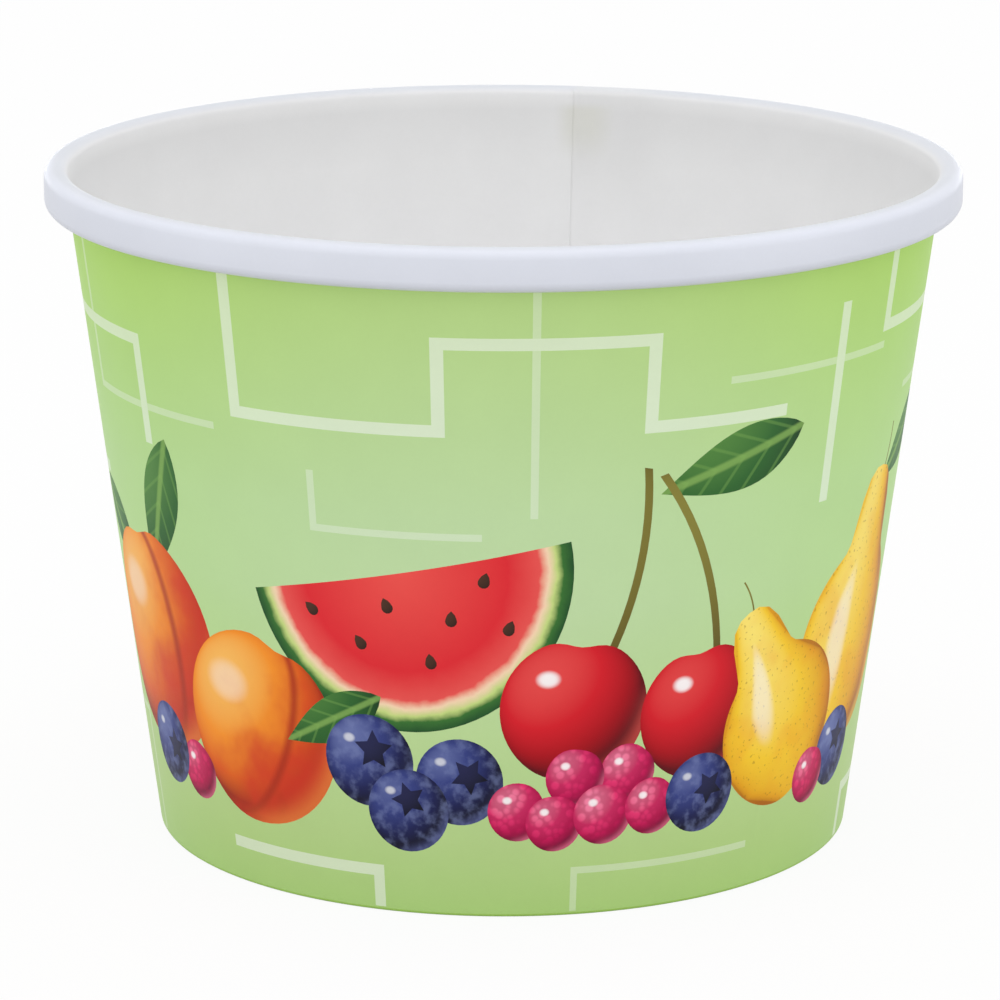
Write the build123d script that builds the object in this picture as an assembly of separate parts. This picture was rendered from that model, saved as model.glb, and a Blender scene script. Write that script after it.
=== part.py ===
from build123d import *
import os
from math import asin, atan2, cos, degrees, hypot, radians, sin, tan

# Paper ice cream cup of coated board, made the way a cup machine makes it.
# The side wall is one blank: wrapped into a cone, lapped and sealed down the back,
# folded in round the base's skirt at the foot, and rolled outwards at the rim.
# The base is a second blank: a disc with its edge creased down into a skirt.
# The origin is on the table under the cup's axis, +Z is up and -Y is the front.

# Driving sizes, in millimetres
rim_diameter = 96.0  # over the rolled rim, the size that a lid snaps over
foot_diameter = 73.6  # over the printed wall, where its line meets the table
cup_height = 71.0
wall_board = 0.40  # thickness of the side wall's board
base_board = 0.35  # thickness of the base's board

# Rolled rim
roll_width = 2.4  # from the mouth's inner face to the outermost line
roll_height = 4.35
curl_tail = 1.2  # of board turned up at the roll's hidden edge
curl_slope = 60.0  # degrees above level, of that edge where it comes back to the wall
curl_gap = 0.05  # between the wall and that edge
top_round_share = 0.45  # bend radius of the rim's top, as a share of the roll's width
under_round_share = 0.60  # bend radius of the rim's underside, as a share of its width

# Foot and base
hem_height = 7.0  # of the wall's lower edge, folded up inside
base_recess = 8.0  # from the table to the underside of the base
seal_gap = 0.02  # room for the sealing film between two boards
skirt_gap = 0.10  # between the skirt's edge and the fold below it

# Lapped side seam
seam_azimuth = 80.0  # degrees from +X towards +Y, of the inner flap's cut edge
lap_width = 8.0  # overlap of the two flaps
lap_ramp = 3.0  # length over which the outer flap climbs on to the inner one
groove_width = 0.6  # of the gap beside the inner flap's cut edge
groove_depth = 0.2

cut_overrun = 0.5  # how far a cutting shape stands clear of the face that it cuts

# Lines that follow from the driving sizes
rim_radius = rim_diameter / 2
foot_radius = foot_diameter / 2
mouth_flare = rim_radius - roll_width - foot_radius
wall_angle = atan2(mouth_flare, cup_height) + asin(wall_board / hypot(mouth_flare, cup_height))
rim_under = cup_height - roll_height
base_top = base_recess + base_board
seam_radius = foot_radius + mouth_flare / 2


def wall_radius(height, depth):
    """Radius at that height of the cone which lies depth inside the wall's printed face."""
    return foot_radius + height * tan(wall_angle) - depth / cos(wall_angle)


def on_wall(height, depth):
    """Point of the section at that height, depth inside the wall's printed face."""
    return Vector(wall_radius(height, depth), height)


def moved_right(corners, distance):
    """Corners of a bent line moved to its right by distance, measured square to each run."""
    runs = [(end - start).normalized() for start, end in zip(corners, corners[1:])]
    squares = [Vector(run.Y, -run.X) for run in runs]
    inner = [
        corner + (before + after) * (distance / (1 + before.dot(after)))
        for corner, before, after in zip(corners[1:-1], squares, squares[1:])
    ]
    return [corners[0] + squares[0] * distance, *inner, corners[-1] + squares[-1] * distance]


def bent_face(corners, bends, distance):
    """Edge line of a bent sheet, distance to the right of its leading face."""
    runs = [end - start for start, end in zip(corners, corners[1:])]
    turns = [before.cross(after).Z for before, after in zip(runs, runs[1:])]
    radii = [bend + (distance if turn > 0 else -distance) for bend, turn in zip(bends, turns)]
    return FilletPolyline(*moved_right(corners, distance), radius=radii)


def sheet_section(corners, bends, near, far):
    """Section of a bent sheet that fills from near to far, to the right of its leading face."""
    near_face = bent_face(corners, bends, near)
    far_face = bent_face(corners, bends, far)
    start = Line(near_face @ 0, far_face @ 0)
    end = Line(near_face @ 1, far_face @ 1)
    return Plane.XZ * make_face([near_face, far_face, start, end])


def arc_degrees(length):
    """Turn about the axis that spans that length, half way up the wall."""
    return degrees(length / seam_radius)


def swept(section, start, turn):
    """The section turned about the cup's axis, from the azimuth start through turn degrees."""
    return Rot(0, 0, start) * revolve(section, axis=Axis.Z, revolution_arc=turn)


# White face of the side wall's blank, from the hem's edge to the rolled-under edge.
# The creases at the foot are scored: sharp on the white face, round on the printed one.
tuck_depth = wall_board + base_board + 2 * seal_gap
foot_corners = [
    on_wall(hem_height, tuck_depth),
    on_wall(wall_board, tuck_depth),
    on_wall(wall_board, wall_board),
]
rim_corners = [
    on_wall(cup_height, wall_board),
    Vector(rim_radius, cup_height),
    Vector(rim_radius, rim_under),
]
curl_rise = Vector(-cos(radians(curl_slope)), sin(radians(curl_slope))) * curl_tail
curl_end = on_wall(rim_under + curl_rise.Y, -curl_gap)
curl_corners = [curl_end - curl_rise, curl_end]
under_width = rim_radius - curl_corners[0].X

creases = [0, 0]
top_bends = [top_round_share * roll_width] * 2
under_bends = [under_round_share * under_width] * 2


def blank_section():
    """Section of the board from hem to curl, in one piece."""
    corners = [*foot_corners, *rim_corners, *curl_corners]
    return sheet_section(corners, [*creases, *top_bends, *under_bends], 0, wall_board)


def outer_flap():
    """Second layer of board where the blank laps itself, with a ramp on its rising side."""
    lowest = wall_board
    highest = rim_under - curl_gap
    inside = [on_wall(lowest, wall_board / 2), on_wall(highest, wall_board / 2)]
    outside = [on_wall(highest, -wall_board), on_wall(lowest, -wall_board)]
    section = Plane.XZ * make_face(Polyline(*inside, *outside, close=True))
    flap = swept(section, 0, arc_degrees(lap_ramp + lap_width))
    rising_side = flap.faces().sort_by(Axis.Y)[0]
    rising_edge = rising_side.edges().sort_by(SortBy.LENGTH)[-2:].sort_by(Axis.X)[-1]
    flap = chamfer(rising_edge, length=wall_board, length2=lap_ramp, reference=rising_side)
    return Rot(0, 0, seam_azimuth - arc_degrees(lap_ramp)) * flap


def seam_groove():
    """Gap beside the inner flap's cut edge, up the inside of the wall to the crown of the rim."""
    mouth_bend = top_bends[0]
    corners = [
        on_wall(base_top + base_board, wall_board),
        rim_corners[0],
        Vector(rim_radius - mouth_bend, cup_height),
    ]
    section = sheet_section(corners, [mouth_bend], -cut_overrun, groove_depth)
    turn = arc_degrees(groove_width)
    return swept(section, seam_azimuth - turn, turn)


def side_wall():
    """The printed blank: hem, foot, wall, lapped seam and rolled rim."""
    shell = swept(blank_section(), 0, 360)
    return shell + outer_flap() - seam_groove()


def base_disc():
    """The base: a flat disc with its edge creased down into a skirt that the hem grips."""
    skirt_depth = wall_board + seal_gap
    corners = [
        Vector(0, base_top),
        on_wall(base_top, skirt_depth),
        on_wall(wall_board + skirt_gap, skirt_depth),
    ]
    return swept(sheet_section(corners, [base_board], 0, base_board), 0, 360)


os.makedirs("parts", exist_ok=True)
for name, solid in {"side_wall": side_wall(), "base_disc": base_disc()}.items():
    export_step(solid, f"parts/{name}.step")
    print(name, round(solid.volume, 1), "mm3, valid", solid.is_valid)
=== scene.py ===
import math
import bmesh
import bpy
from mathutils import Matrix, Vector
from mathutils.geometry import delaunay_2d_cdt


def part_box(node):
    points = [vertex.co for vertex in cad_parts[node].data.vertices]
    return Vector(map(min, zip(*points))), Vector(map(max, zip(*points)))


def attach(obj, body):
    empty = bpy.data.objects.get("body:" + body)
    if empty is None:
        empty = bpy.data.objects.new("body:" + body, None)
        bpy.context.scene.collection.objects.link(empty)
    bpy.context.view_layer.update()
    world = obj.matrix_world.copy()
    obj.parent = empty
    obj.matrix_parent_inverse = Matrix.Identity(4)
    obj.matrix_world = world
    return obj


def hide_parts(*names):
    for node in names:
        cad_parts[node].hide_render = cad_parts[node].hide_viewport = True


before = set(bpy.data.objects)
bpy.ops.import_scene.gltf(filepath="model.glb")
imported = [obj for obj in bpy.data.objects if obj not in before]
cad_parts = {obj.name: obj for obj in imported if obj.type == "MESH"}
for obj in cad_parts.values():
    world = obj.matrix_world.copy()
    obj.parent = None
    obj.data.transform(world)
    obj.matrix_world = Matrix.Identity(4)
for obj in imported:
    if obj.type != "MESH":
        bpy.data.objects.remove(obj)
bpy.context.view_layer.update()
mm = 0.001

# the cup's sizes in millimetres; a turn is in degrees from the front (-Y) towards the right (+X)
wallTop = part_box("side_wall")[1]
cup = {
    "rimRadius": round(wallTop.x / mm, 2),
    "height": round(wallTop.z / mm, 2),
    "footRadius": 36.8,
    "board": 0.40,
    "hemHeight": 7.0,
    "hemRoom": 0.39,  # for the base's skirt, between the wall and the hem
    "rollWidth": 2.4,
    "rollHeight": 4.35,
    "topBendShare": 0.45,  # of the roll's width
    "underBendShare": 0.60,  # of the underside's width
    "curlTail": 1.2,
    "curlSlope": 60.0,
    "curlGap": 0.05,
    "seamTurn": 170.0,  # the inner flap's cut edge
    "lapWidth": 8.0,
    "lapRamp": 3.0,
}
board = cup["board"]
flare = cup["rimRadius"] - cup["rollWidth"] - cup["footRadius"]
lean = math.atan2(flare, cup["height"]) + math.asin(board / math.hypot(flare, cup["height"]))
rimUnder = cup["height"] - cup["rollHeight"]
midRadius = cup["footRadius"] + flare / 2
cutTurn = cup["seamTurn"] + math.degrees(cup["lapWidth"] / midRadius)  # the outer flap's cut edge
rampTurn = cup["seamTurn"] - math.degrees(cup["lapRamp"] / midRadius)  # where that flap starts to climb


def wallRadius(height, depth=0.0):
    return cup["footRadius"] + height * math.tan(lean) - depth / math.cos(lean)


def smooth(low, high, value):
    share = min(max((value - low) / (high - low), 0.0), 1.0)
    return share * share * (3 - 2 * share)


def ink(red, green, blue):
    # from the 0-255 values of a paint program to the linear ones of a shader
    shares = [value / 255 for value in (red, green, blue)]
    return [s / 12.92 if s <= 0.04045 else ((s + 0.055) / 1.055) ** 2.4 for s in shares] + [1.0]


def plug(tree, socket, value):
    if isinstance(value, Wire):
        tree.links.new(value.socket, socket)
    else:
        socket.default_value = value


class Wire:
    # a socket that takes part in sums
    def __init__(self, tree, socket):
        self.tree = tree
        self.socket = socket

    def sum(self, operation, *values):
        node = self.tree.nodes.new("ShaderNodeMath")
        node.operation = operation
        for socket, value in zip(node.inputs, values):
            plug(self.tree, socket, value)
        return Wire(self.tree, node.outputs[0])

    def __add__(self, other):
        return self.sum("ADD", self, other)

    def __radd__(self, other):
        return self.sum("ADD", other, self)

    def __sub__(self, other):
        return self.sum("SUBTRACT", self, other)

    def __rsub__(self, other):
        return self.sum("SUBTRACT", other, self)

    def __mul__(self, other):
        return self.sum("MULTIPLY", self, other)

    def __rmul__(self, other):
        return self.sum("MULTIPLY", other, self)

    def __truediv__(self, other):
        return self.sum("DIVIDE", self, other)

    def __pow__(self, other):
        return self.sum("POWER", self, other)

    def __abs__(self):
        return self.sum("ABSOLUTE", self)

    def atLeast(self, low):
        return self.sum("MAXIMUM", self, low)

    def atMost(self, high):
        return self.sum("MINIMUM", self, high)

    def sine(self):
        return self.sum("SINE", self)

    def cosine(self):
        return self.sum("COSINE", self)

    def turnFrom(self, other):
        return self.sum("ARCTAN2", self, other)

    def step(self, low, high):
        share = ((self - low) / (high - low)).atLeast(0.0).atMost(1.0)
        return share * share * (3 - 2 * share)


class Graph:
    # makes nodes in a tree; a socket goes by its name, or by its number where names repeat
    def __init__(self, tree):
        self.tree = tree
        self.tree.nodes.clear()

    def node(self, kind, settings=None, values=None, out=None):
        made = self.tree.nodes.new(kind)
        for name, value in (settings or {}).items():
            if name == "stops":
                ramp = made.color_ramp.elements
                while len(ramp) < len(value):
                    ramp.new(1.0)
                for element, (place, colour) in zip(ramp, value):
                    element.position = place
                    element.color = colour
            else:
                setattr(made, name, value)
        sockets = {s.name: s for s in reversed(made.inputs) if s.enabled}
        for name, value in (values or {}).items():
            plug(self.tree, made.inputs[name] if isinstance(name, int) else sockets[name], value)
        results = [s for s in made.outputs if s.enabled and out in (None, s.name)]
        return Wire(self.tree, results[0]) if results else None


class Look(Graph):
    # a material and the nodes that its surfaces share
    def __init__(self, name):
        self.material = bpy.data.materials.new(name)
        self.material.use_nodes = True
        super().__init__(self.material.node_tree)

    def place(self):
        return self.node("ShaderNodeTexCoord", out="Object")

    def mapped(self):
        return self.node("ShaderNodeUVMap", {"uv_map": "printMap"})

    def fact(self, name):
        return self.node("ShaderNodeAttribute", {"attribute_name": name}, None, "Fac")

    def axes(self, vector):
        return [self.node("ShaderNodeSeparateXYZ", None, {"Vector": vector}, axis) for axis in "XYZ"]

    def noise(self, vector, scale, detail=2.0, roughness=0.5):
        sizes = {"Vector": vector, "Scale": scale, "Detail": detail, "Roughness": roughness}
        return self.node("ShaderNodeTexNoise", None, sizes, "Fac")

    def ramp(self, share, stops):
        return self.node("ShaderNodeValToRGB", {"stops": stops}, {"Fac": share}, "Color")

    def mix(self, share, one, other):
        values = {"Factor": share, "A": one, "B": other}
        return self.node("ShaderNodeMix", {"data_type": "RGBA"}, values, "Result")


# coated board, the same under every ink; sizes in mm
coatedBoard = {
    "fibreSize": 0.45,
    "fibreDepth": 0.008,
    "cloudSize": 7.0,
    "cloudDepth": 0.020,
    "mottle": 0.03,
    "roughness": 0.46,
    "roughnessSpread": 0.16,
    "specular": 0.15,
}


def boardFinish(look, colour, roughness=coatedBoard["roughness"], specular=coatedBoard["specular"]):
    place = look.place()
    fibre = look.noise(place, 1 / (coatedBoard["fibreSize"] * mm), 4.0, 0.65) - 0.5
    cloud = look.noise(place, 1 / (coatedBoard["cloudSize"] * mm), 3.0) - 0.5
    height = fibre * coatedBoard["fibreDepth"] + cloud * coatedBoard["cloudDepth"]
    bump = look.node("ShaderNodeBump", None, {"Height": height, "Distance": mm, "Strength": 1.0})
    shade = 1 + (cloud * 2 + fibre) * coatedBoard["mottle"]
    tinted = look.node("ShaderNodeHueSaturation", None, {"Value": shade, "Color": colour})
    values = {
        "Base Color": tinted,
        "Roughness": roughness + fibre * coatedBoard["roughnessSpread"],
        "Normal": bump,
        "Specular IOR Level": specular,
    }
    surface = look.node("ShaderNodeBsdfPrincipled", None, values)
    look.node("ShaderNodeOutputMaterial", None, {"Surface": surface})
    return look.material


# the blank's unprinted side: painted shade darkening the inside towards the rim, cool over the roll,
# painted shade beside the seam's step and a warm tint over the sealed lap
bareFace = {
    "roughness": 0.42,
    "specular": 0.25,
    # up the wall, by share of the cup's height: white, with painted shade that darkens it towards the rim
    "whitesWithPaintedShade": [
        (0.700, ink(245, 245, 246)),
        (0.880, ink(238, 238, 238)),
        (0.965, ink(229, 229, 229)),
        (0.982, ink(234, 234, 234)),
        (0.992, ink(235, 235, 236)),
        (0.999, ink(211, 214, 221)),
    ],
    # amount, ink, and where it starts, is full, fades and ends: in degrees from the seam, then in mm up;
    # first a painted shade beside the seam's step, then the sealed lap's warm tint
    "paintedShadeAndSealTint": [
        # painted shade: a grey darkening beside the seam's step
        (0.5, ink(224, 224, 224), (-16, -7, -1, 1), (56, 66, 80, 81)),
        (0.5, ink(218, 218, 206), (-7, -2.5, 0, 3), (62, 67, 68.4, 69.6)),
    ],
    "rollInk": ink(214, 217, 227),
    "rollFrom": 1.4,  # mm inside the rim's outermost line
    "rollFull": 0.2,
}


def whiteFace(name):
    look = Look(name)
    x, y, z = look.axes(look.place())
    # painted shade: the white ramps darker towards the rim
    colour = look.ramp(z / (cup["height"] * mm), bareFace["whitesWithPaintedShade"])
    turn = x.turnFrom(0 - y) / math.pi * 180 - cup["seamTurn"]

    def between(value, start, full, fade, end):
        return value.step(start, full) * (1 - value.step(fade, end))

    # the first mix paints shade beside the seam's step, the second tints the sealed lap
    for amount, tint, turns, heights in bareFace["paintedShadeAndSealTint"]:
        colour = look.mix(between(turn, *turns) * between(z / mm, *heights) * amount, colour, tint)
    edges = [(cup["rimRadius"] - bareFace[end]) * mm for end in ("rollFrom", "rollFull")]
    outside = ((x * x + y * y) ** 0.5).step(*edges)
    colour = look.mix(outside, colour, bareFace["rollInk"])
    return boardFinish(look, colour, bareFace["roughness"], bareFace["specular"])


# cut board: off-white, with its fibres open
cutBoard = {
    "fibreSize": 0.12,
    "fibres": ink(226, 220, 204),
    "filler": ink(241, 237, 227),
    "roughness": 0.85,
}


def rawEdge(name):
    look = Look(name)
    fibres = look.noise(look.place(), 1 / (cutBoard["fibreSize"] * mm), 3.0)
    colour = look.mix(fibres, cutBoard["fibres"], cutBoard["filler"])
    return boardFinish(look, colour, cutBoard["roughness"])


# the print's ground: stronger at rim and foot, paler between, and fuller between the repeats higher up
printGround = {
    "stops": [
        (0.00, ink(172, 207, 124)),
        (0.12, ink(180, 209, 137)),
        (0.30, ink(187, 216, 152)),
        (0.50, ink(192, 219, 167)),
        (0.64, ink(191, 219, 165)),
        (0.82, ink(187, 217, 151)),
        (1.00, ink(185, 217, 136)),
    ],
    "fuller": 0.3,
    "fullerFrom": 8,  # mm up
    "fullerTo": 34,
    # share of white laid over it
    "boldVeil": 0.42,
    "faintVeil": 0.24,
}


def greenGround(name, veil=0.0):
    look = Look(name)
    x, y, z = look.axes(look.place())
    ground = look.ramp(z / (rimUnder * mm), printGround["stops"])
    aside = x * x / (x * x + y * y) * z.step(printGround["fullerFrom"] * mm, printGround["fullerTo"] * mm)
    values = {"Saturation": 1 + aside * printGround["fuller"], "Color": ground}
    ground = look.node("ShaderNodeHueSaturation", None, values)
    if veil:
        ground = look.mix(veil, ground, ink(255, 255, 255))
    return boardFinish(look, ground)


# the print runs a little way round the foot, then stops at the hem's bare board; sizes in mm
hemPrint = {
    "print": ink(160, 199, 98),
    "bare": ink(231, 230, 226),
    "stopsFrom": 2.6,
    "stopsTo": 2.9,
    "raggedSize": 2.5,
    "raggedHeight": 0.6,
}


def hemInk(name):
    look = Look(name)
    z = look.axes(look.place())[2]
    ragged = look.noise(look.place(), 1 / (hemPrint["raggedSize"] * mm), 3.0) - 0.5
    height = z + ragged * (hemPrint["raggedHeight"] * mm)
    bare = height.step(hemPrint["stopsFrom"] * mm, hemPrint["stopsTo"] * mm)
    return boardFinish(look, look.mix(bare, hemPrint["print"], hemPrint["bare"]))


# light on the printed fruit, from its upper left
fruitLight = {
    "front": 0.62,
    "up": 0.42,
    "left": 0.34,
    "toneSpread": 0.14,  # from one fruit to the next
    "bounce": 0.45,  # back into the dark side
    "longLength": 2.8,  # of a fruit with girths, in its own units
    "longRound": 0.4,  # how much it still rounds off at its ends
}


def fruitInk(name, stops, glint=None, detail=None, girths=None, bounce=None):
    # a round thing printed flat, lit from the same side however far it is turned
    look = Look(name)
    u, v, _ = look.axes(look.mapped())
    turn = look.fact("fruitTurn")
    across, along = u, v
    if girths:
        across = u / look.ramp((v + 1) / fruitLight["longLength"], girths)
        along = v * fruitLight["longRound"]
    bulge = (1 - across * across - along * along).atLeast(0.0) ** 0.5
    right = across * turn.cosine() + along * turn.sine()
    up = along * turn.cosine() - across * turn.sine()
    light = bulge * fruitLight["front"] + up * fruitLight["up"] - right * fruitLight["left"]
    light = light + (look.fact("fruitTone") - 0.5) * fruitLight["toneSpread"]
    colour = look.ramp(light, stops)
    if detail:
        colour = detail(look, u, v, colour)
    if bounce:
        far = (right - up).step(0.55, 1.25) * (1 - bulge).step(0.25, 0.75)
        colour = look.mix(far * fruitLight["bounce"], colour, bounce)
    if glint:
        x, y, wide, high, strength = glint
        du, dv = (right - x) / wide, (up - y) / high
        colour = look.mix((1 - du * du - dv * dv).step(0.0, 0.9) * strength, colour, ink(255, 255, 255))
    return boardFinish(look, colour)


def grey(value):
    return [value, value, value, 1.0]


# what is printed over the fruit's tones: amount and ink, in patterns measured in a fruit's own units
fruitDetail = {
    "pearBlush": (0.40, ink(236, 150, 36)),
    "pearFreckle": (0.45, ink(150, 104, 30)),
    "peachBlush": (0.85, ink(208, 54, 34)),
    "peachCleft": (0.80, ink(168, 48, 24)),
    "berryBloom": (0.40, ink(128, 140, 188)),
    "berryGrain": (0.45, ink(150, 10, 62)),
    "leafSide": (0.35, ink(120, 168, 84)),
    "leafRib": (0.70, ink(136, 178, 92)),
    # from a melon's heart to its rind
    "melonBands": [
        (0.00, ink(238, 84, 78)),
        (0.62, ink(222, 44, 52)),
        (0.80, ink(232, 84, 80)),
        (0.85, ink(246, 214, 180)),
        (0.90, ink(196, 216, 130)),
        (0.94, ink(58, 112, 50)),
        (1.00, ink(34, 78, 40)),
    ],
    # half widths up a pear, from its eye to its stalk
    "pearGirths": [
        (0.00, grey(0.30)),
        (0.18, grey(0.84)),
        (0.36, grey(0.98)),
        (0.50, grey(0.88)),
        (0.64, grey(0.58)),
        (0.74, grey(0.43)),
        (0.90, grey(0.30)),
    ],
}


def overprint(look, name, pattern, colour):
    amount, added = fruitDetail[name]
    return look.mix(pattern * amount, colour, added)


def pearSkin(look, u, v, colour):
    blush = look.noise(look.mapped(), 1.6).step(0.45, 0.75)
    spots = look.noise(look.mapped(), 20.0, 1.0).step(0.64, 0.72)
    colour = overprint(look, "pearBlush", blush, colour)
    return overprint(look, "pearFreckle", spots, colour)


def peachSkin(look, u, v, colour):
    blush = (look.noise(look.mapped(), 1.5, 3.0) + u * 0.35 - v * 0.15).step(0.35, 0.85)
    fromCleft = abs(u - 0.42 * (1 - v * v).atLeast(0.0) ** 0.5)
    colour = overprint(look, "peachBlush", blush, colour)
    return overprint(look, "peachCleft", 1 - fromCleft.step(0.0, 0.09), colour)


def blueberrySkin(look, u, v, colour):
    dust = look.noise(look.mapped(), 3.2, 4.0).step(0.42, 0.70)
    return overprint(look, "berryBloom", dust, colour)


def pinkBerrySkin(look, u, v, colour):
    beads = look.node("ShaderNodeTexVoronoi", None, {"Vector": look.mapped(), "Scale": 3.4}, "Distance")
    return overprint(look, "berryGrain", beads.step(0.30, 0.62), colour)


def melonFlesh(look, u, v, colour):
    grain = look.noise(look.mapped(), 9.0, 3.0) - 0.5
    return look.ramp((u * u + v * v) ** 0.5 + grain * 0.05, fruitDetail["melonBands"])


def leafVeins(look, u, v, colour):
    rib = 1 - abs(u).step(0.02, 0.07)
    sides = ((v * 2.6 + abs(u) * 3.4) * 2 * math.pi).sine().step(0.75, 1.0)
    colour = overprint(look, "leafSide", sides, colour)
    return overprint(look, "leafRib", rib, colour)


# every ink, with a fruit's tones from its dark side to its lit one;
# a glint has its place to the right and up, its width and height, and its strength
wallInks = {
    "ground": greenGround("printGreen"),
    "boldLine": greenGround("printBoldLine", printGround["boldVeil"]),
    "faintLine": greenGround("printFaintLine", printGround["faintVeil"]),
    "pear": fruitInk(
        "printPear",
        [
            (0.0, ink(170, 98, 18)),
            (0.3, ink(226, 160, 28)),
            (0.6, ink(247, 203, 50)),
            (0.9, ink(254, 232, 122)),
        ],
        glint=(-0.34, 0.08, 0.24, 0.30, 0.45),
        detail=pearSkin,
        girths=fruitDetail["pearGirths"],
        bounce=ink(244, 206, 96),
    ),
    "peach": fruitInk(
        "printPeach",
        [
            (0.0, ink(150, 44, 18)),
            (0.3, ink(222, 98, 26)),
            (0.6, ink(246, 148, 44)),
            (0.9, ink(253, 204, 110)),
        ],
        glint=(-0.36, 0.42, 0.34, 0.26, 0.30),
        detail=peachSkin,
        bounce=ink(240, 150, 70),
    ),
    "cherry": fruitInk(
        "printCherry",
        [
            (0.0, ink(92, 8, 18)),
            (0.3, ink(168, 16, 28)),
            (0.6, ink(212, 30, 42)),
            (0.95, ink(238, 88, 84)),
        ],
        glint=(-0.36, 0.44, 0.19, 0.14, 0.90),
        bounce=ink(232, 92, 84),
    ),
    "melon": fruitInk(
        "printMelon",
        [(0.0, ink(220, 50, 56)), (1.0, ink(240, 90, 84))],
        detail=melonFlesh,
    ),
    "blueberry": fruitInk(
        "printBlueberry",
        [
            (0.0, ink(14, 14, 38)),
            (0.3, ink(28, 32, 78)),
            (0.65, ink(54, 64, 126)),
            (0.95, ink(118, 130, 184)),
        ],
        glint=(-0.42, 0.46, 0.16, 0.12, 0.55),
        detail=blueberrySkin,
        bounce=ink(96, 104, 160),
    ),
    "crown": fruitInk("printCrown", [(0.0, ink(10, 10, 28)), (1.0, ink(40, 42, 82))]),
    "pinkBerry": fruitInk(
        "printPinkBerry",
        [
            (0.0, ink(122, 8, 54)),
            (0.3, ink(192, 22, 84)),
            (0.6, ink(228, 54, 112)),
            (0.95, ink(248, 146, 176)),
        ],
        glint=(-0.34, 0.40, 0.20, 0.16, 0.85),
        detail=pinkBerrySkin,
        bounce=ink(244, 128, 160),
    ),
    "leaf": fruitInk(
        "printLeaf",
        [(0.0, ink(20, 52, 26)), (0.5, ink(48, 100, 46)), (1.0, ink(96, 148, 70))],
        detail=leafVeins,
    ),
    "stem": fruitInk("printStem", [(0.0, ink(84, 70, 28)), (1.0, ink(142, 136, 62))]),
    "seed": fruitInk("printSeed", [(0.0, ink(34, 18, 14)), (1.0, ink(84, 54, 40))]),
    "white": whiteFace("whiteFace"),
    "rawEdge": rawEdge("rawEdge"),
    "hem": hemInk("hemInk"),
}
inkOrder = list(wallInks)
print("inks and boards:", len(inkOrder))


# fruit outlines, about one unit in radius
def swellAt(turn, centre, width, power=2):
    away = abs((turn - centre + math.pi) % (2 * math.pi) - math.pi)
    return math.exp(-((away / width) ** power))


def polar(radius, points=56):
    turns = [2 * math.pi * i / points for i in range(points)]
    return [(radius(t) * math.sin(t), radius(t) * math.cos(t)) for t in turns]


def halfDisc(points=40):
    turns = [math.pi * i / points for i in range(points + 1)]
    return [(math.cos(t), -math.sin(t)) for t in turns]


def leafOutline(points=18, wide=0.40, leftShare=0.9, tipward=0.8):
    shares = [i / points for i in range(points + 1)]
    right = [(wide * math.sin(math.pi * s ** tipward), 1 - 2 * s) for s in shares]
    left = [(-leftShare * x, y) for x, y in right[1:-1]]
    return right + left[::-1]


def stemOutline(points=14, bow=0.16, wide=0.035):
    shares = [2 * i / points - 1 for i in range(points + 1)]
    middle = [(bow * (1 - s * s), s) for s in shares]
    return [(x + wide, y) for x, y in middle] + [(x - wide, y) for x, y in middle[::-1]]


def starOutline(points=5, inner=0.5):
    reach = [1.0, inner] * points
    turns = [math.pi * i / points for i in range(2 * points)]
    return [(r * math.sin(t), r * math.cos(t)) for r, t in zip(reach, turns)]


fruitOutlines = {
    "pear": polar(lambda t: 0.97 + 0.66 * swellAt(t, 0, 0.33, 3) - 0.05 * swellAt(t, math.pi, 0.3), 72),
    "peach": polar(lambda t: 1 - 0.08 * swellAt(t, 0, 0.22) + 0.03 * swellAt(t, math.pi, 0.4)),
    "cherry": polar(lambda t: 1 - 0.13 * swellAt(t, 0, 0.30) - 0.03 * swellAt(t, math.pi, 0.3)),
    "melon": halfDisc(),
    "blueberry": polar(lambda t: 1.0, 40),
    "crown": starOutline(),
    "pinkBerry": polar(lambda t: 1 - 0.05 * swellAt(t, 0, 0.4), 32),
    "leaf": leafOutline(),
    "stem": stemOutline(),
    "seed": polar(lambda t: 0.55 + 0.45 * swellAt(t, 0, 0.5), 12),
}

# what is drawn behind and over each fruit, in its own units: kind, place, size and turn in degrees
drawnBehind = {"pear": [("stem", 0.03, 1.72, 0.30, 8)]}
drawnOver = {
    "blueberry": [("crown", 0.12, 0.24, 0.44, 0)],
    "melon": [
        ("seed", -0.62, -0.16, 0.065, -37.2),
        ("seed", -0.36, -0.40, 0.065, -21.6),
        ("seed", -0.14, -0.20, 0.065, -8.4),
        ("seed", 0.04, -0.58, 0.065, 2.4),
        ("seed", 0.22, -0.34, 0.065, 13.2),
        ("seed", 0.46, -0.14, 0.065, 27.6),
        ("seed", 0.54, -0.46, 0.065, 32.4),
    ],
}

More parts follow.
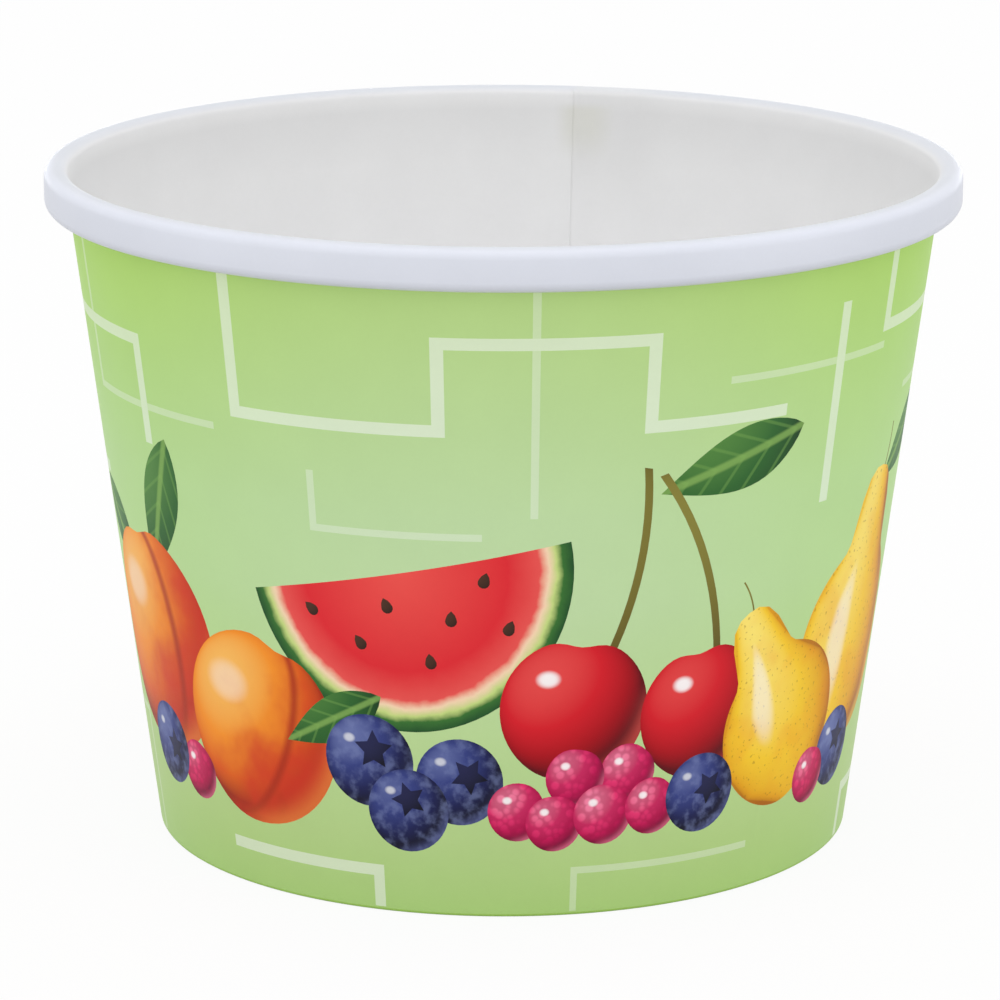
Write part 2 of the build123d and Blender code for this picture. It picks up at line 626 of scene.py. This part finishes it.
# the printed design, in mm right of its middle and up from the table
design = {
    "repeats": 2,  # round the cup
    "foot": 0.5,  # where the print leaves the straight wall, up from the table
    "top": rimUnder + 0.3,
    "toneStep": 0.618,  # from one fruit to the next
    "lineWidth": {"boldLine": 1.25, "faintLine": 0.75},
    # right-angled lines by their corners
    "lines": [
        ("faintLine", [(-52, 68), (-52, 50), (-30, 50)]),
        ("faintLine", [(-19, 47), (-19, 41), (-2, 41)]),
        ("faintLine", [(3, 68), (3, 43)]),
        ("faintLine", [(22, 56), (44, 56)]),
        ("faintLine", [(52, 50), (64, 50), (64, 30)]),
        ("faintLine", [(-64, 14), (-54, 14), (-54, 0)]),
        ("faintLine", [(8, 0), (8, 5), (30, 5)]),
        ("boldLine", [(-60, 57), (-41, 57), (-41, 46)]),
        ("boldLine", [(-27, 68), (-27, 52), (-6, 52), (-6, 61), (14, 61), (14, 52), (29, 52)]),
        ("boldLine", [(44, 68), (44, 58), (60, 58)]),
        ("boldLine", [(36, 62), (36, 41)]),
        ("boldLine", [(-62, 22), (-62, 40), (-56, 40)]),
        ("boldLine", [(-34, 4.5), (-14, 4.5), (-14, 0)]),
        ("boldLine", [(52, 0), (52, 6), (62, 6)]),
    ],
    # the pile from back to front: kind, place, size and turn in degrees
    "fruit": [
        ("leaf", -53, 34, 7.5, -50),
        ("leaf", -41, 39, 8.5, 20),
        ("peach", -46, 24, 12.0, -8),
        ("leaf", 56, 44, 7.5, 62),
        ("pear", 46.5, 23.5, 11.5, 8),
        ("melon", -10, 37, 17.0, -12),
        ("leaf", 23.5, 47.5, 8.5, 72),
        ("stem", 11.5, 36, 12.0, 12),
        ("stem", 19.5, 35, 12.5, -18),
        ("cherry", 7.5, 22.5, 7.8, 5),
        ("cherry", 22, 21, 7.3, -8),
        ("pear", 34.0, 17.5, 9.2, -28),
        ("peach", -28.5, 18, 10.4, 22),
        ("leaf", -18.5, 20.5, 6.5, 62),
        ("blueberry", -14.5, 16.5, 5.0, 0),
        ("blueberry", -4.6, 14.8, 4.7, 30),
        ("pinkBerry", 13.6, 15.4, 3.1, 40),
        ("pinkBerry", 7.8, 15.2, 3.2, 10),
        ("blueberry", -10.3, 11.4, 4.5, -20),
        ("pinkBerry", 1.6, 11.6, 3.2, 70),
        ("pinkBerry", 5.6, 10.3, 3.1, 0),
        ("pinkBerry", 11.0, 11.0, 3.3, 25),
        ("pinkBerry", 16.6, 11.4, 3.1, 50),
        ("blueberry", 22.6, 12.0, 4.3, 40),
        ("blueberry", 45.8, 12.2, 4.3, 10),
        ("pinkBerry", 40.2, 10.4, 3.1, 15),
        ("pinkBerry", -39.5, 11.0, 3.2, 35),
        ("blueberry", -46.0, 12.4, 4.4, 70),
    ],
}
blankWidth = 2 * math.pi * midRadius
blankRight = math.radians(cutTurn) * midRadius
blankLeft = blankRight - blankWidth
printFoot = design["foot"]
printTop = design["top"]

# the wall laid flat on a square map for baked looks: two halves of the print, and the rest in bands
flatMap = {
    "printShare": 0.385,  # height of each half, of the map's side
    "margin": 0.004,
    "bleed": 0.6,  # of the print past its foot and top, in mm
    "leastBand": 1.2,  # in mm
    "seamGap": 0.8,  # between the sides of the seam's step, in degrees
}


def onMap(share, low, high):
    return low + flatMap["margin"] + share * (high - low - 2 * flatMap["margin"])


def printSpots(corners):
    middle = blankLeft + blankWidth / 2
    half = sum(x for x, _ in corners) / len(corners) > middle
    left = middle if half else blankLeft
    foot = printFoot - flatMap["bleed"]
    height = printTop + flatMap["bleed"] - foot
    low, high = [flatMap["printShare"] * (half + i) for i in range(2)]
    across = [onMap((x - left) / (blankWidth / 2), 0, 1) for x, _ in corners]
    up = [onMap((y - foot) / height, low, high) for _, y in corners]
    return list(zip(across, up))


def movedRight(corners, distance):
    runs = [(end - start).normalized() for start, end in zip(corners, corners[1:])]
    squares = [Vector((run.y, -run.x)) for run in runs]
    inner = [
        corner + (before + after) * (distance / (1 + before.dot(after)))
        for corner, before, after in zip(corners[1:-1], squares, squares[1:])
    ]
    return [corners[0] + squares[0] * distance, *inner, corners[-1] + squares[-1] * distance]


def turnsRight(outline):
    return sum(a.x * b.y - a.y * b.x for a, b in zip(outline, outline[1:] + outline[:1])) < 0


def drawnShapes():
    # every flat shape on the blank, as printed: outline, ink, middle, size, turn, tone
    drawn = []

    def draw(inkName, outline, middle=Vector((0, 0)), size=1.0, turn=0.0, tone=0.5):
        outline = outline[::-1] if turnsRight(outline) else outline
        for repeat in range(-design["repeats"], design["repeats"] + 1):
            shift = Vector((repeat * blankWidth / design["repeats"], 0))
            moved = [point + shift for point in outline]
            if min(p.x for p in moved) < blankRight and max(p.x for p in moved) > blankLeft:
                drawn.append((moved, inkName, middle + shift, size, turn, tone))

    for inkName, corners in design["lines"]:
        corners = [Vector(corner) for corner in corners]
        half = design["lineWidth"][inkName] / 2
        draw(inkName, movedRight(corners, half) + movedRight(corners, -half)[::-1])

    def drawFruit(kind, middle, size, turn, tone):
        spin = Matrix.Rotation(-turn, 2)

        def drawWith(extras):
            for extra, x, y, share, added in extras.get(kind, []):
                place = middle + spin @ Vector((x, y)) * size
                drawFruit(extra, place, size * share, turn + math.radians(added), tone)

        drawWith(drawnBehind)
        outline = [middle + spin @ Vector(point) * size for point in fruitOutlines[kind]]
        draw(kind, outline, middle, size, turn, tone)
        drawWith(drawnOver)

    for number, (kind, x, y, size, turn) in enumerate(design["fruit"]):
        tone = (number * design["toneStep"]) % 1.0
        drawFruit(kind, Vector((x, y)), size, math.radians(turn), tone)
    return drawn


# how the wall is meshed; lengths in mm
wallMesh = {
    "columns": 288,
    "rampColumns": 6,  # up the lap's ramp
    "bendSteps": 8,
    "innerRings": (1.0, 5.0, 9.0, 9.25, 9.5, 20, 40, 60, 62, 64, 66, 68),
    "fadeSteps": 4,
    "footFade": 0.5,  # over which the lap is pressed flat, at the foot and under the rim
    "rimFade": 0.45,
    "rimFlat": 0.05,  # above the rim's underside, where it is flat
    "merge": 0.002,
    "leastEdge": 0.001,
    "sharp": 32,  # degrees
}
# the inner flap's step on the white face, as a share of the board's thickness
seamStep = {
    "depth": 0.4,
    "from": 9.0,  # mm up, above the base
    "full": 9.5,
    "pressed": 0.4,  # share lost on the way to the rim
    "pressedFrom": 60.0,
    "pressedTo": 66.0,
    "rollFrom": 0.2,  # mm before the mouth's inner edge, where the roll starts to flatten it
    "rollTo": 0.3,  # mm inside the rim's outermost line
}
columnTurns = [cutTurn - 360 + 360 * i / wallMesh["columns"] for i in range(wallMesh["columns"] + 1)]
rampStep = (cup["seamTurn"] - rampTurn) / wallMesh["rampColumns"]
rampTurns = [rampTurn + rampStep * i for i in range(wallMesh["rampColumns"])] + [cup["seamTurn"]]

# gathered as points, faces, each face's ink and shape, and its corners on the flat map
points, faces, faceInks, faceShapes, faceSpots = [], [], [], [], []


def addPoint(radius, turn, height):
    points.append((radius * math.sin(turn) * mm, -radius * math.cos(turn) * mm, height * mm))
    return len(points) - 1


def addFace(corners, inkName, spots, shape=-1):
    faces.append(corners)
    faceInks.append(inkOrder.index(inkName))
    faceSpots.append(spots)
    faceShapes.append(shape)


def lapRise(turn):
    # share of the board's thickness by which the outer flap stands proud, turn in degrees
    return smooth(rampTurn, cup["seamTurn"], turn) if turn > rampTurn else 0.0


def printedWall(shapes):
    # the printed face, cut into triangles while flat; gives the rows of points along its four edges
    blankCorners = (
        (blankLeft, printFoot),
        (blankRight, printFoot),
        (blankRight, printTop),
        (blankLeft, printTop),
    )
    spots, lines, areas = [], [], []

    def outline(corners):
        areas.append(list(range(len(spots), len(spots) + len(corners))))
        spots.extend(corners)

    def line(start, end):
        lines.append((len(spots), len(spots) + 1))
        spots.extend((Vector(start), Vector(end)))

    outline([Vector(corner) for corner in blankCorners])
    for shape in shapes:
        outline(shape[0])
    for turn in columnTurns[-2:0:-1] + rampTurns:
        x = math.radians(turn) * midRadius
        line((x, printFoot), (x, printTop))
    lapLeft = math.radians(rampTurn) * midRadius
    footFlat = printFoot + wallMesh["footFade"]
    rimFlat = rimUnder + wallMesh["rimFlat"]
    for i in range(wallMesh["fadeSteps"]):
        share = (i + 1) / wallMesh["fadeSteps"]
        for y in (printFoot + wallMesh["footFade"] * share, rimFlat - wallMesh["rimFade"] * share):
            line((lapLeft, y), (blankRight, y))
    line((lapLeft, rimFlat), (blankRight, rimFlat))
    found, _, triangles, _, _, owners = delaunay_2d_cdt(spots, lines, areas, 0, 1e-5)

    ids = {}

    def wallPoint(number):
        if number not in ids:
            spot = found[number]
            turn = spot.x / midRadius
            rise = lapRise(math.degrees(turn)) * smooth(printFoot, footFlat, spot.y)
            rise *= 1 - smooth(rimFlat - wallMesh["rimFade"], rimFlat, spot.y)
            ids[number] = addPoint(wallRadius(spot.y, -board * rise), turn, spot.y)
        return ids[number]

    for triangle, owner in zip(triangles, owners):
        if 0 in owner:
            top = max(owner) - 1
            inkName = shapes[top][1] if top >= 0 else "ground"
            corners = [wallPoint(i) for i in triangle]
            addFace(corners, inkName, printSpots([found[i] for i in triangle]), top)

    def edge(axis, limit):
        onEdge = [i for i in ids if abs(found[i][axis] - limit) < 1e-4]
        return sorted((found[i][1 - axis], limit, ids[i]) for i in onEdge)

    return edge(1, printFoot), edge(1, printTop), edge(0, blankLeft), edge(0, blankRight)


def zipped(one, other, inkName, spots):
    # triangles between two rows of points, each with its place along the row and across it
    i, j = 0, 0
    while i < len(one) - 1 or j < len(other) - 1:
        if j == len(other) - 1 or (i < len(one) - 1 and one[i + 1][0] <= other[j + 1][0]):
            corners = one[i], one[i + 1], other[j]
            i += 1
        else:
            corners = one[i], other[j + 1], other[j]
            j += 1
        addFace([corner[2] for corner in corners], inkName, spots([corner[:2] for corner in corners]))


def bentLine(corners, bends):
    steps = wallMesh["bendSteps"]
    line = [corners[0]]
    for before, corner, after, bend in zip(corners, corners[1:], corners[2:], bends):
        if bend == 0:
            line.append(corner)
            continue
        back, ahead = (before - corner).normalized(), (after - corner).normalized()
        half = math.acos(back.dot(ahead)) / 2
        centre = corner + (back + ahead).normalized() * (bend / math.sin(half))
        start = corner + back * (bend / math.tan(half)) - centre
        end = corner + ahead * (bend / math.tan(half)) - centre
        sweep = math.atan2(start.x * end.y - start.y * end.x, start.dot(end))
        line += [centre + Matrix.Rotation(sweep * i / steps, 2) @ start for i in range(steps + 1)]
    return line + [corners[-1]]


def wallSection():
    # the board's white face and its printed face, from the hem's edge to the rolled-under edge
    def onWall(height, depth):
        return Vector((wallRadius(height, depth), height))

    tuck = board + cup["hemRoom"]
    slope = math.radians(cup["curlSlope"])
    rise = Vector((-math.cos(slope), math.sin(slope))) * cup["curlTail"]
    curlEnd = onWall(rimUnder + rise.y, -cup["curlGap"])
    curl = curlEnd - rise
    corners = [
        onWall(cup["hemHeight"], tuck),
        onWall(board, tuck),
        onWall(board, board),
        onWall(cup["height"], board),
        Vector((cup["rimRadius"], cup["height"])),
        Vector((cup["rimRadius"], rimUnder)),
        curl,
        curlEnd,
    ]
    underBend = cup["underBendShare"] * (cup["rimRadius"] - curl.x)
    topBend = cup["topBendShare"] * cup["rollWidth"]
    bends = [0, 0, topBend, topBend, underBend, underBend]
    printedBends = [board, board] + [bend - board for bend in bends[2:]]
    return bentLine(corners, bends), bentLine(movedRight(corners, board), printedBends)


def restOfWall(footEdge, topEdge, leftEdge, rightEdge):
    # the other faces, between rings of points; a column has its turn and its share of the seam's step
    white, printed = wallSection()
    columns = [(turn, 0.0) for turn in columnTurns if not rampTurn < turn <= cup["seamTurn"]]
    columns += [(turn, lapRise(turn)) for turn in rampTurns] + [(cup["seamTurn"], 0.0)]
    columns.sort(key=lambda column: (column[0], -column[1]))
    seamColumn = columns.index((cup["seamTurn"], 0.0)) - 1
    least = flatMap["leastBand"]
    # two rings, an ink and a width on the flat map; one with no ink is a gap, the first for the cut edge
    bands = [(None, None, None, 2 * least)]

    def ring(point, recess=0.0):
        radius, height = point
        spots = [(radius + board * share * recess, math.radians(turn)) for turn, share in columns]
        return [addPoint(across, turn, height) for across, turn in spots]

    def recessAt(point):
        # the inner flap stands proud of the wall beside it, and the roll presses the two flat
        radius, height = point
        mouth = wallRadius(cup["height"], board)
        pressed = seamStep["pressed"] * smooth(seamStep["pressedFrom"], seamStep["pressedTo"], height)
        rolled = smooth(mouth - seamStep["rollFrom"], cup["rimRadius"] - seamStep["rollTo"], radius)
        depth = seamStep["depth"] * smooth(seamStep["from"], seamStep["full"], height)
        return depth * (1 - pressed) * (1 - rolled)

    def lathe(rings, inkName):
        for low, high in zip(rings, rings[1:]):
            width = (Vector(points[high[0]]) - Vector(points[low[0]])).length / mm
            bands.append((low, high, inkName, max(width, least)))
        bands.append((None, None, None, least))

    foot = max(i for i, p in enumerate(printed) if p.y < printFoot)
    inner = [Vector((wallRadius(height, board), height)) for height in wallMesh["innerRings"]]
    whiteLine = white[:3] + inner + white[3:]
    whiteRings = [ring(p, recessAt(p)) for p in whiteLine]
    lathe(whiteRings, "white")
    under = [ring(p) for p in printed[foot + 1:]]
    lathe([whiteRings[-1], under[-1]], "rawEdge")
    lathe(under[::-1], "white")
    hem = [ring(p) for p in printed[:foot + 1]]
    lathe(hem[::-1], "hem")
    lathe([hem[0], whiteRings[0]], "rawEdge")

    total = sum(band[-1] for band in bands)
    around = [turn + flatMap["seamGap"] * (i > seamColumn) for i, (turn, _) in enumerate(columns)]
    across = [onMap((turn - around[0]) / (around[-1] - around[0]), 0, 1) for turn in around]

    def up(width):
        return onMap(width / total, 2 * flatMap["printShare"], 1)

    done = 0
    for low, high, inkName, width in bands:
        below, above = up(done), up(done + width)
        done += width
        if not inkName:
            continue
        for i, (left, right) in enumerate(zip(across, across[1:])):
            spots = [(left, below), (left, above), (right, above), (right, below)]
            addFace([low[i], high[i], high[i + 1], low[i + 1]], inkName, spots)

    def asRow(row, height):
        return [(math.radians(turn) * midRadius, height, i) for (turn, _), i in zip(columns, row)]

    def cutSpots(corners):
        return [(onMap(along / printTop, 0, 1), up(least * (side > 0))) for along, side in corners]

    zipped(asRow(hem[-1], printFoot - flatMap["bleed"]), footEdge, "ground", printSpots)
    zipped(topEdge, asRow(under[0], printTop + flatMap["bleed"]), "ground", printSpots)
    zipped(leftEdge, rightEdge, "rawEdge", cutSpots)


def wallObject(shapes):
    edges = printedWall(shapes)
    restOfWall(*edges)
    mesh = bpy.data.meshes.new("printed_wall")
    mesh.from_pydata(points, [], faces)
    for inkName in inkOrder:
        mesh.materials.append(wallInks[inkName])
    mesh.polygons.foreach_set("material_index", faceInks)
    for name in ("printMap", "OFBake"):
        mesh.uv_layers.new(name=name)
    flatPlaces = [value for spots in faceSpots for spot in spots for value in spot]
    mesh.uv_layers["OFBake"].data.foreach_set("uv", flatPlaces)
    chart = mesh.uv_layers["printMap"]
    turns = mesh.attributes.new("fruitTurn", "FLOAT", "FACE")
    tones = mesh.attributes.new("fruitTone", "FLOAT", "FACE")
    for polygon, shape in zip(mesh.polygons, faceShapes):
        if shape < 0:
            continue
        _, _, middle, size, turn, tone = shapes[shape]
        turns.data[polygon.index].value = turn
        tones.data[polygon.index].value = tone
        spin = Matrix.Rotation(turn, 2)
        for loop in polygon.loop_indices:
            x, y, z = mesh.vertices[mesh.loops[loop].vertex_index].co
            around = math.atan2(x, -y) * midRadius
            away = Vector((around, z / mm)) - middle
            if abs(away.x) > blankWidth / 2:
                away.x -= math.copysign(blankWidth, away.x)
            chart.data[loop].uv = spin @ away / size
    work = bmesh.new()
    work.from_mesh(mesh)
    bmesh.ops.remove_doubles(work, verts=work.verts, dist=wallMesh["merge"] * mm)
    bmesh.ops.dissolve_degenerate(work, edges=work.edges, dist=wallMesh["leastEdge"] * mm)
    bmesh.ops.recalc_face_normals(work, faces=work.faces)
    openEdges = sum(not edge.is_manifold for edge in work.edges)
    print("wall: open edges", openEdges, "volume in mm3", work.calc_volume() / mm ** 3)
    for face in work.faces:
        face.smooth = True
    work.to_mesh(mesh)
    work.free()
    mesh.set_sharp_from_angle(angle=math.radians(wallMesh["sharp"]))
    piece = bpy.data.objects.new("printed_wall", mesh)
    bpy.context.collection.objects.link(piece)
    return piece


shapes = drawnShapes()
print("shapes on the blank:", len(shapes))
wall = wallObject(shapes)
print("printed wall faces:", len(wall.data.polygons))
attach(wall, "root")
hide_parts("side_wall")

# ridges that the crimping wheel leaves round the inside of the foot
knurlHeight = 3.9
hemKnurl = {
    "Count": 150,
    "Radius": wallRadius(knurlHeight, 2 * board + cup["hemRoom"]) * mm,
    "Height": knurlHeight * mm,
    "Ridge Size": Vector((0.16, 0.85, 5.0)) * mm,
    "Lean": lean,
}


def knurlTree(material):
    tree = bpy.data.node_groups.new("hemKnurl", "GeometryNodeTree")
    graph = Graph(tree)
    kinds = dict.fromkeys(hemKnurl, "Float") | {"Count": "Int", "Ridge Size": "Vector"}
    for name, kind in kinds.items():
        tree.interface.new_socket(name, in_out="INPUT", socket_type="NodeSocket" + kind)
    tree.interface.new_socket("Mesh", in_out="OUTPUT", socket_type="NodeSocketGeometry")
    given = tree.nodes.new("NodeGroupInput")
    size = {name: Wire(tree, given.outputs[name]) for name in kinds}
    values = {"Vertices": size["Count"], "Radius": size["Radius"]}
    circle = graph.node("GeometryNodeMeshCircle", None, values)
    lift = graph.node("ShaderNodeCombineXYZ", None, {"Z": size["Height"]})
    raised = graph.node("GeometryNodeSetPosition", None, {"Geometry": circle, "Offset": lift})
    values = {"Segments": 6, "Rings": 6, "Radius": 0.5}
    ball = graph.node("GeometryNodeMeshUVSphere", None, values, "Mesh")
    ridge = graph.node("GeometryNodeTransform", None, {"Geometry": ball, "Scale": size["Ridge Size"]})
    spot = graph.node("GeometryNodeInputPosition")
    x, y = [graph.node("ShaderNodeSeparateXYZ", None, {"Vector": spot}, axis) for axis in "XY"]
    spin = graph.node("ShaderNodeCombineXYZ", None, {"Y": size["Lean"], "Z": y.turnFrom(x)})
    values = {"Points": raised, "Instance": ridge, "Rotation": spin}
    ring = graph.node("GeometryNodeInstanceOnPoints", None, values)
    solid = graph.node("GeometryNodeRealizeInstances", None, {"Geometry": ring})
    soft = graph.node("GeometryNodeSetShadeSmooth", None, {"Geometry": solid})
    inked = graph.node("GeometryNodeSetMaterial", None, {"Geometry": soft, "Material": material})
    graph.node("NodeGroupOutput", None, {"Mesh": inked})
    return tree


def knurlObject():
    piece = bpy.data.objects.new("hem_knurl", bpy.data.meshes.new("hem_knurl"))
    bpy.context.collection.objects.link(piece)
    modifier = piece.modifiers.new("knurl", "NODES")
    modifier.node_group = knurlTree(wallInks["hem"])
    for item in modifier.node_group.interface.items_tree:
        if item.in_out == "INPUT":
            modifier[item.identifier] = hemKnurl[item.name]
    shown = piece.evaluated_get(bpy.context.evaluated_depsgraph_get())
    mesh = bpy.data.meshes.new_from_object(shown)
    piece.modifiers.clear()
    piece.data = mesh
    return piece


knurl = knurlObject()
print("knurl faces:", len(knurl.data.polygons))
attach(knurl, "root")


# the base keeps its solid: white board with its fibres drawn one way
baseWhite = {
    "fibreSize": 0.9,
    "fibreDraw": 0.25,  # along y, where they are longer
    "fibres": ink(232, 232, 230),
    "filler": ink(240, 240, 239),
    "roughness": 0.5,
    "specular": 0.25,
}


def baseBoard(name):
    look = Look(name)
    values = {"Vector": look.place(), "Scale": (1.0, baseWhite["fibreDraw"], 1.0)}
    drawn = look.node("ShaderNodeMapping", None, values)
    grain = look.noise(drawn, 1 / (baseWhite["fibreSize"] * mm), 4.0, 0.6)
    colour = look.mix(grain, baseWhite["fibres"], baseWhite["filler"])
    return boardFinish(look, colour, baseWhite["roughness"], baseWhite["specular"])


baseDisc = bpy.data.objects["base_disc"]
baseLook = baseBoard("baseBoard")
for slot in baseDisc.material_slots:
    slot.material = baseLook
print("base board on:", baseDisc.name)

# pale floor and soft studio light
studio = {
    "worldLevel": 0.90,
    "floorSize": 3.0,
    "floorInk": ink(182, 182, 182),
    "floorGlow": 1.08,
    "floorGlowShare": 0.85,  # where the floor is seen or mirrored
    "lamps": {
        # where it stands in metres, its width and height, and its watts
        "overLamp": ((0.0, -0.25, 1.30), (0.8, 0.8), 3.6),
        "frontStrip": ((0.0, -1.30, 0.045), (1.6, 0.08), 2.0),
        "leftStrip": ((-1.20, -0.50, 0.045), (1.2, 0.08), 3.2),
        "rightStrip": ((1.20, -0.50, 0.045), (1.2, 0.08), 3.4),
        "backStrip": ((0.0, 1.30, 0.045), (1.6, 0.08), 2.4),
    },
}


def seenOrMirrored(graph):
    seen = graph.node("ShaderNodeLightPath", None, None, "Is Camera Ray")
    for path in ("Is Glossy Ray", "Is Transmission Ray"):
        seen = seen.atLeast(graph.node("ShaderNodeLightPath", None, None, path))
    return seen


def makeStudio():
    world = bpy.data.worlds.new("studio")
    bpy.context.scene.world = world
    world.use_nodes = True
    graph = Graph(world.node_tree)
    seen = seenOrMirrored(graph)
    strength = seen + (1 - seen) * studio["worldLevel"]  # white where seen, this level as light
    sky = graph.node("ShaderNodeBackground", None, {"Color": (1, 1, 1, 1), "Strength": strength})
    graph.node("ShaderNodeOutputWorld", None, {"Surface": sky})

    look = Look("floorWhite")
    paper = look.node("ShaderNodeBsdfDiffuse", None, {"Color": studio["floorInk"]})
    glow = look.node("ShaderNodeEmission", None, {"Color": (1, 1, 1, 1), "Strength": studio["floorGlow"]})
    values = {"Fac": seenOrMirrored(look) * studio["floorGlowShare"], 1: paper, 2: glow}
    mixed = look.node("ShaderNodeMixShader", None, values)
    look.node("ShaderNodeOutputMaterial", None, {"Surface": mixed})
    mesh = bpy.data.meshes.new("floor")
    half = studio["floorSize"] / 2
    corners = [(-half, -half, 0), (half, -half, 0), (half, half, 0), (-half, half, 0)]
    mesh.from_pydata(corners, [], [(0, 1, 2, 3)])
    mesh.materials.append(look.material)
    floor = bpy.data.objects.new("floor", mesh)
    bpy.context.collection.objects.link(floor)

    aim = Vector((0, 0, cup["height"] / 2 * mm))
    for name, (spot, (width, high), watts) in studio["lamps"].items():
        lamp = bpy.data.lights.new(name, "AREA")
        lamp.shape = "ELLIPSE"
        lamp.size = width
        lamp.size_y = high
        lamp.energy = watts
        holder = bpy.data.objects.new(name, lamp)
        holder.location = spot
        holder.visible_camera = False
        holder.rotation_euler = (aim - Vector(spot)).to_track_quat("-Z", "Y").to_euler()
        bpy.context.collection.objects.link(holder)


makeStudio()
print("studio lamps:", len(studio["lamps"]))

# the photograph's view
view = {
    "place": Vector((0.0, -0.5135, 0.1651)),
    "lens": 179.0,
    "sensor": 36.0,
    "nearest": 0.01,
    "pitch": -14.305,
    "yaw": 0.034,
    "roll": 0.10,
}


def makeCamera():
    lens = bpy.data.cameras.new("camera")
    lens.sensor_width = view["sensor"]
    lens.lens = view["lens"]
    lens.clip_start = view["nearest"]
    camera = bpy.data.objects.new("camera", lens)
    aim = Matrix.Rotation(math.radians(view["yaw"]), 4, "Z")
    aim @= Matrix.Rotation(math.radians(90 + view["pitch"]), 4, "X")
    aim @= Matrix.Rotation(math.radians(view["roll"]), 4, "Z")
    camera.matrix_world = Matrix.Translation(view["place"]) @ aim
    bpy.context.collection.objects.link(camera)
    bpy.context.scene.camera = camera


makeCamera()
bpy.context.scene.view_settings.view_transform = "Standard"
print("camera lens:", view["lens"])
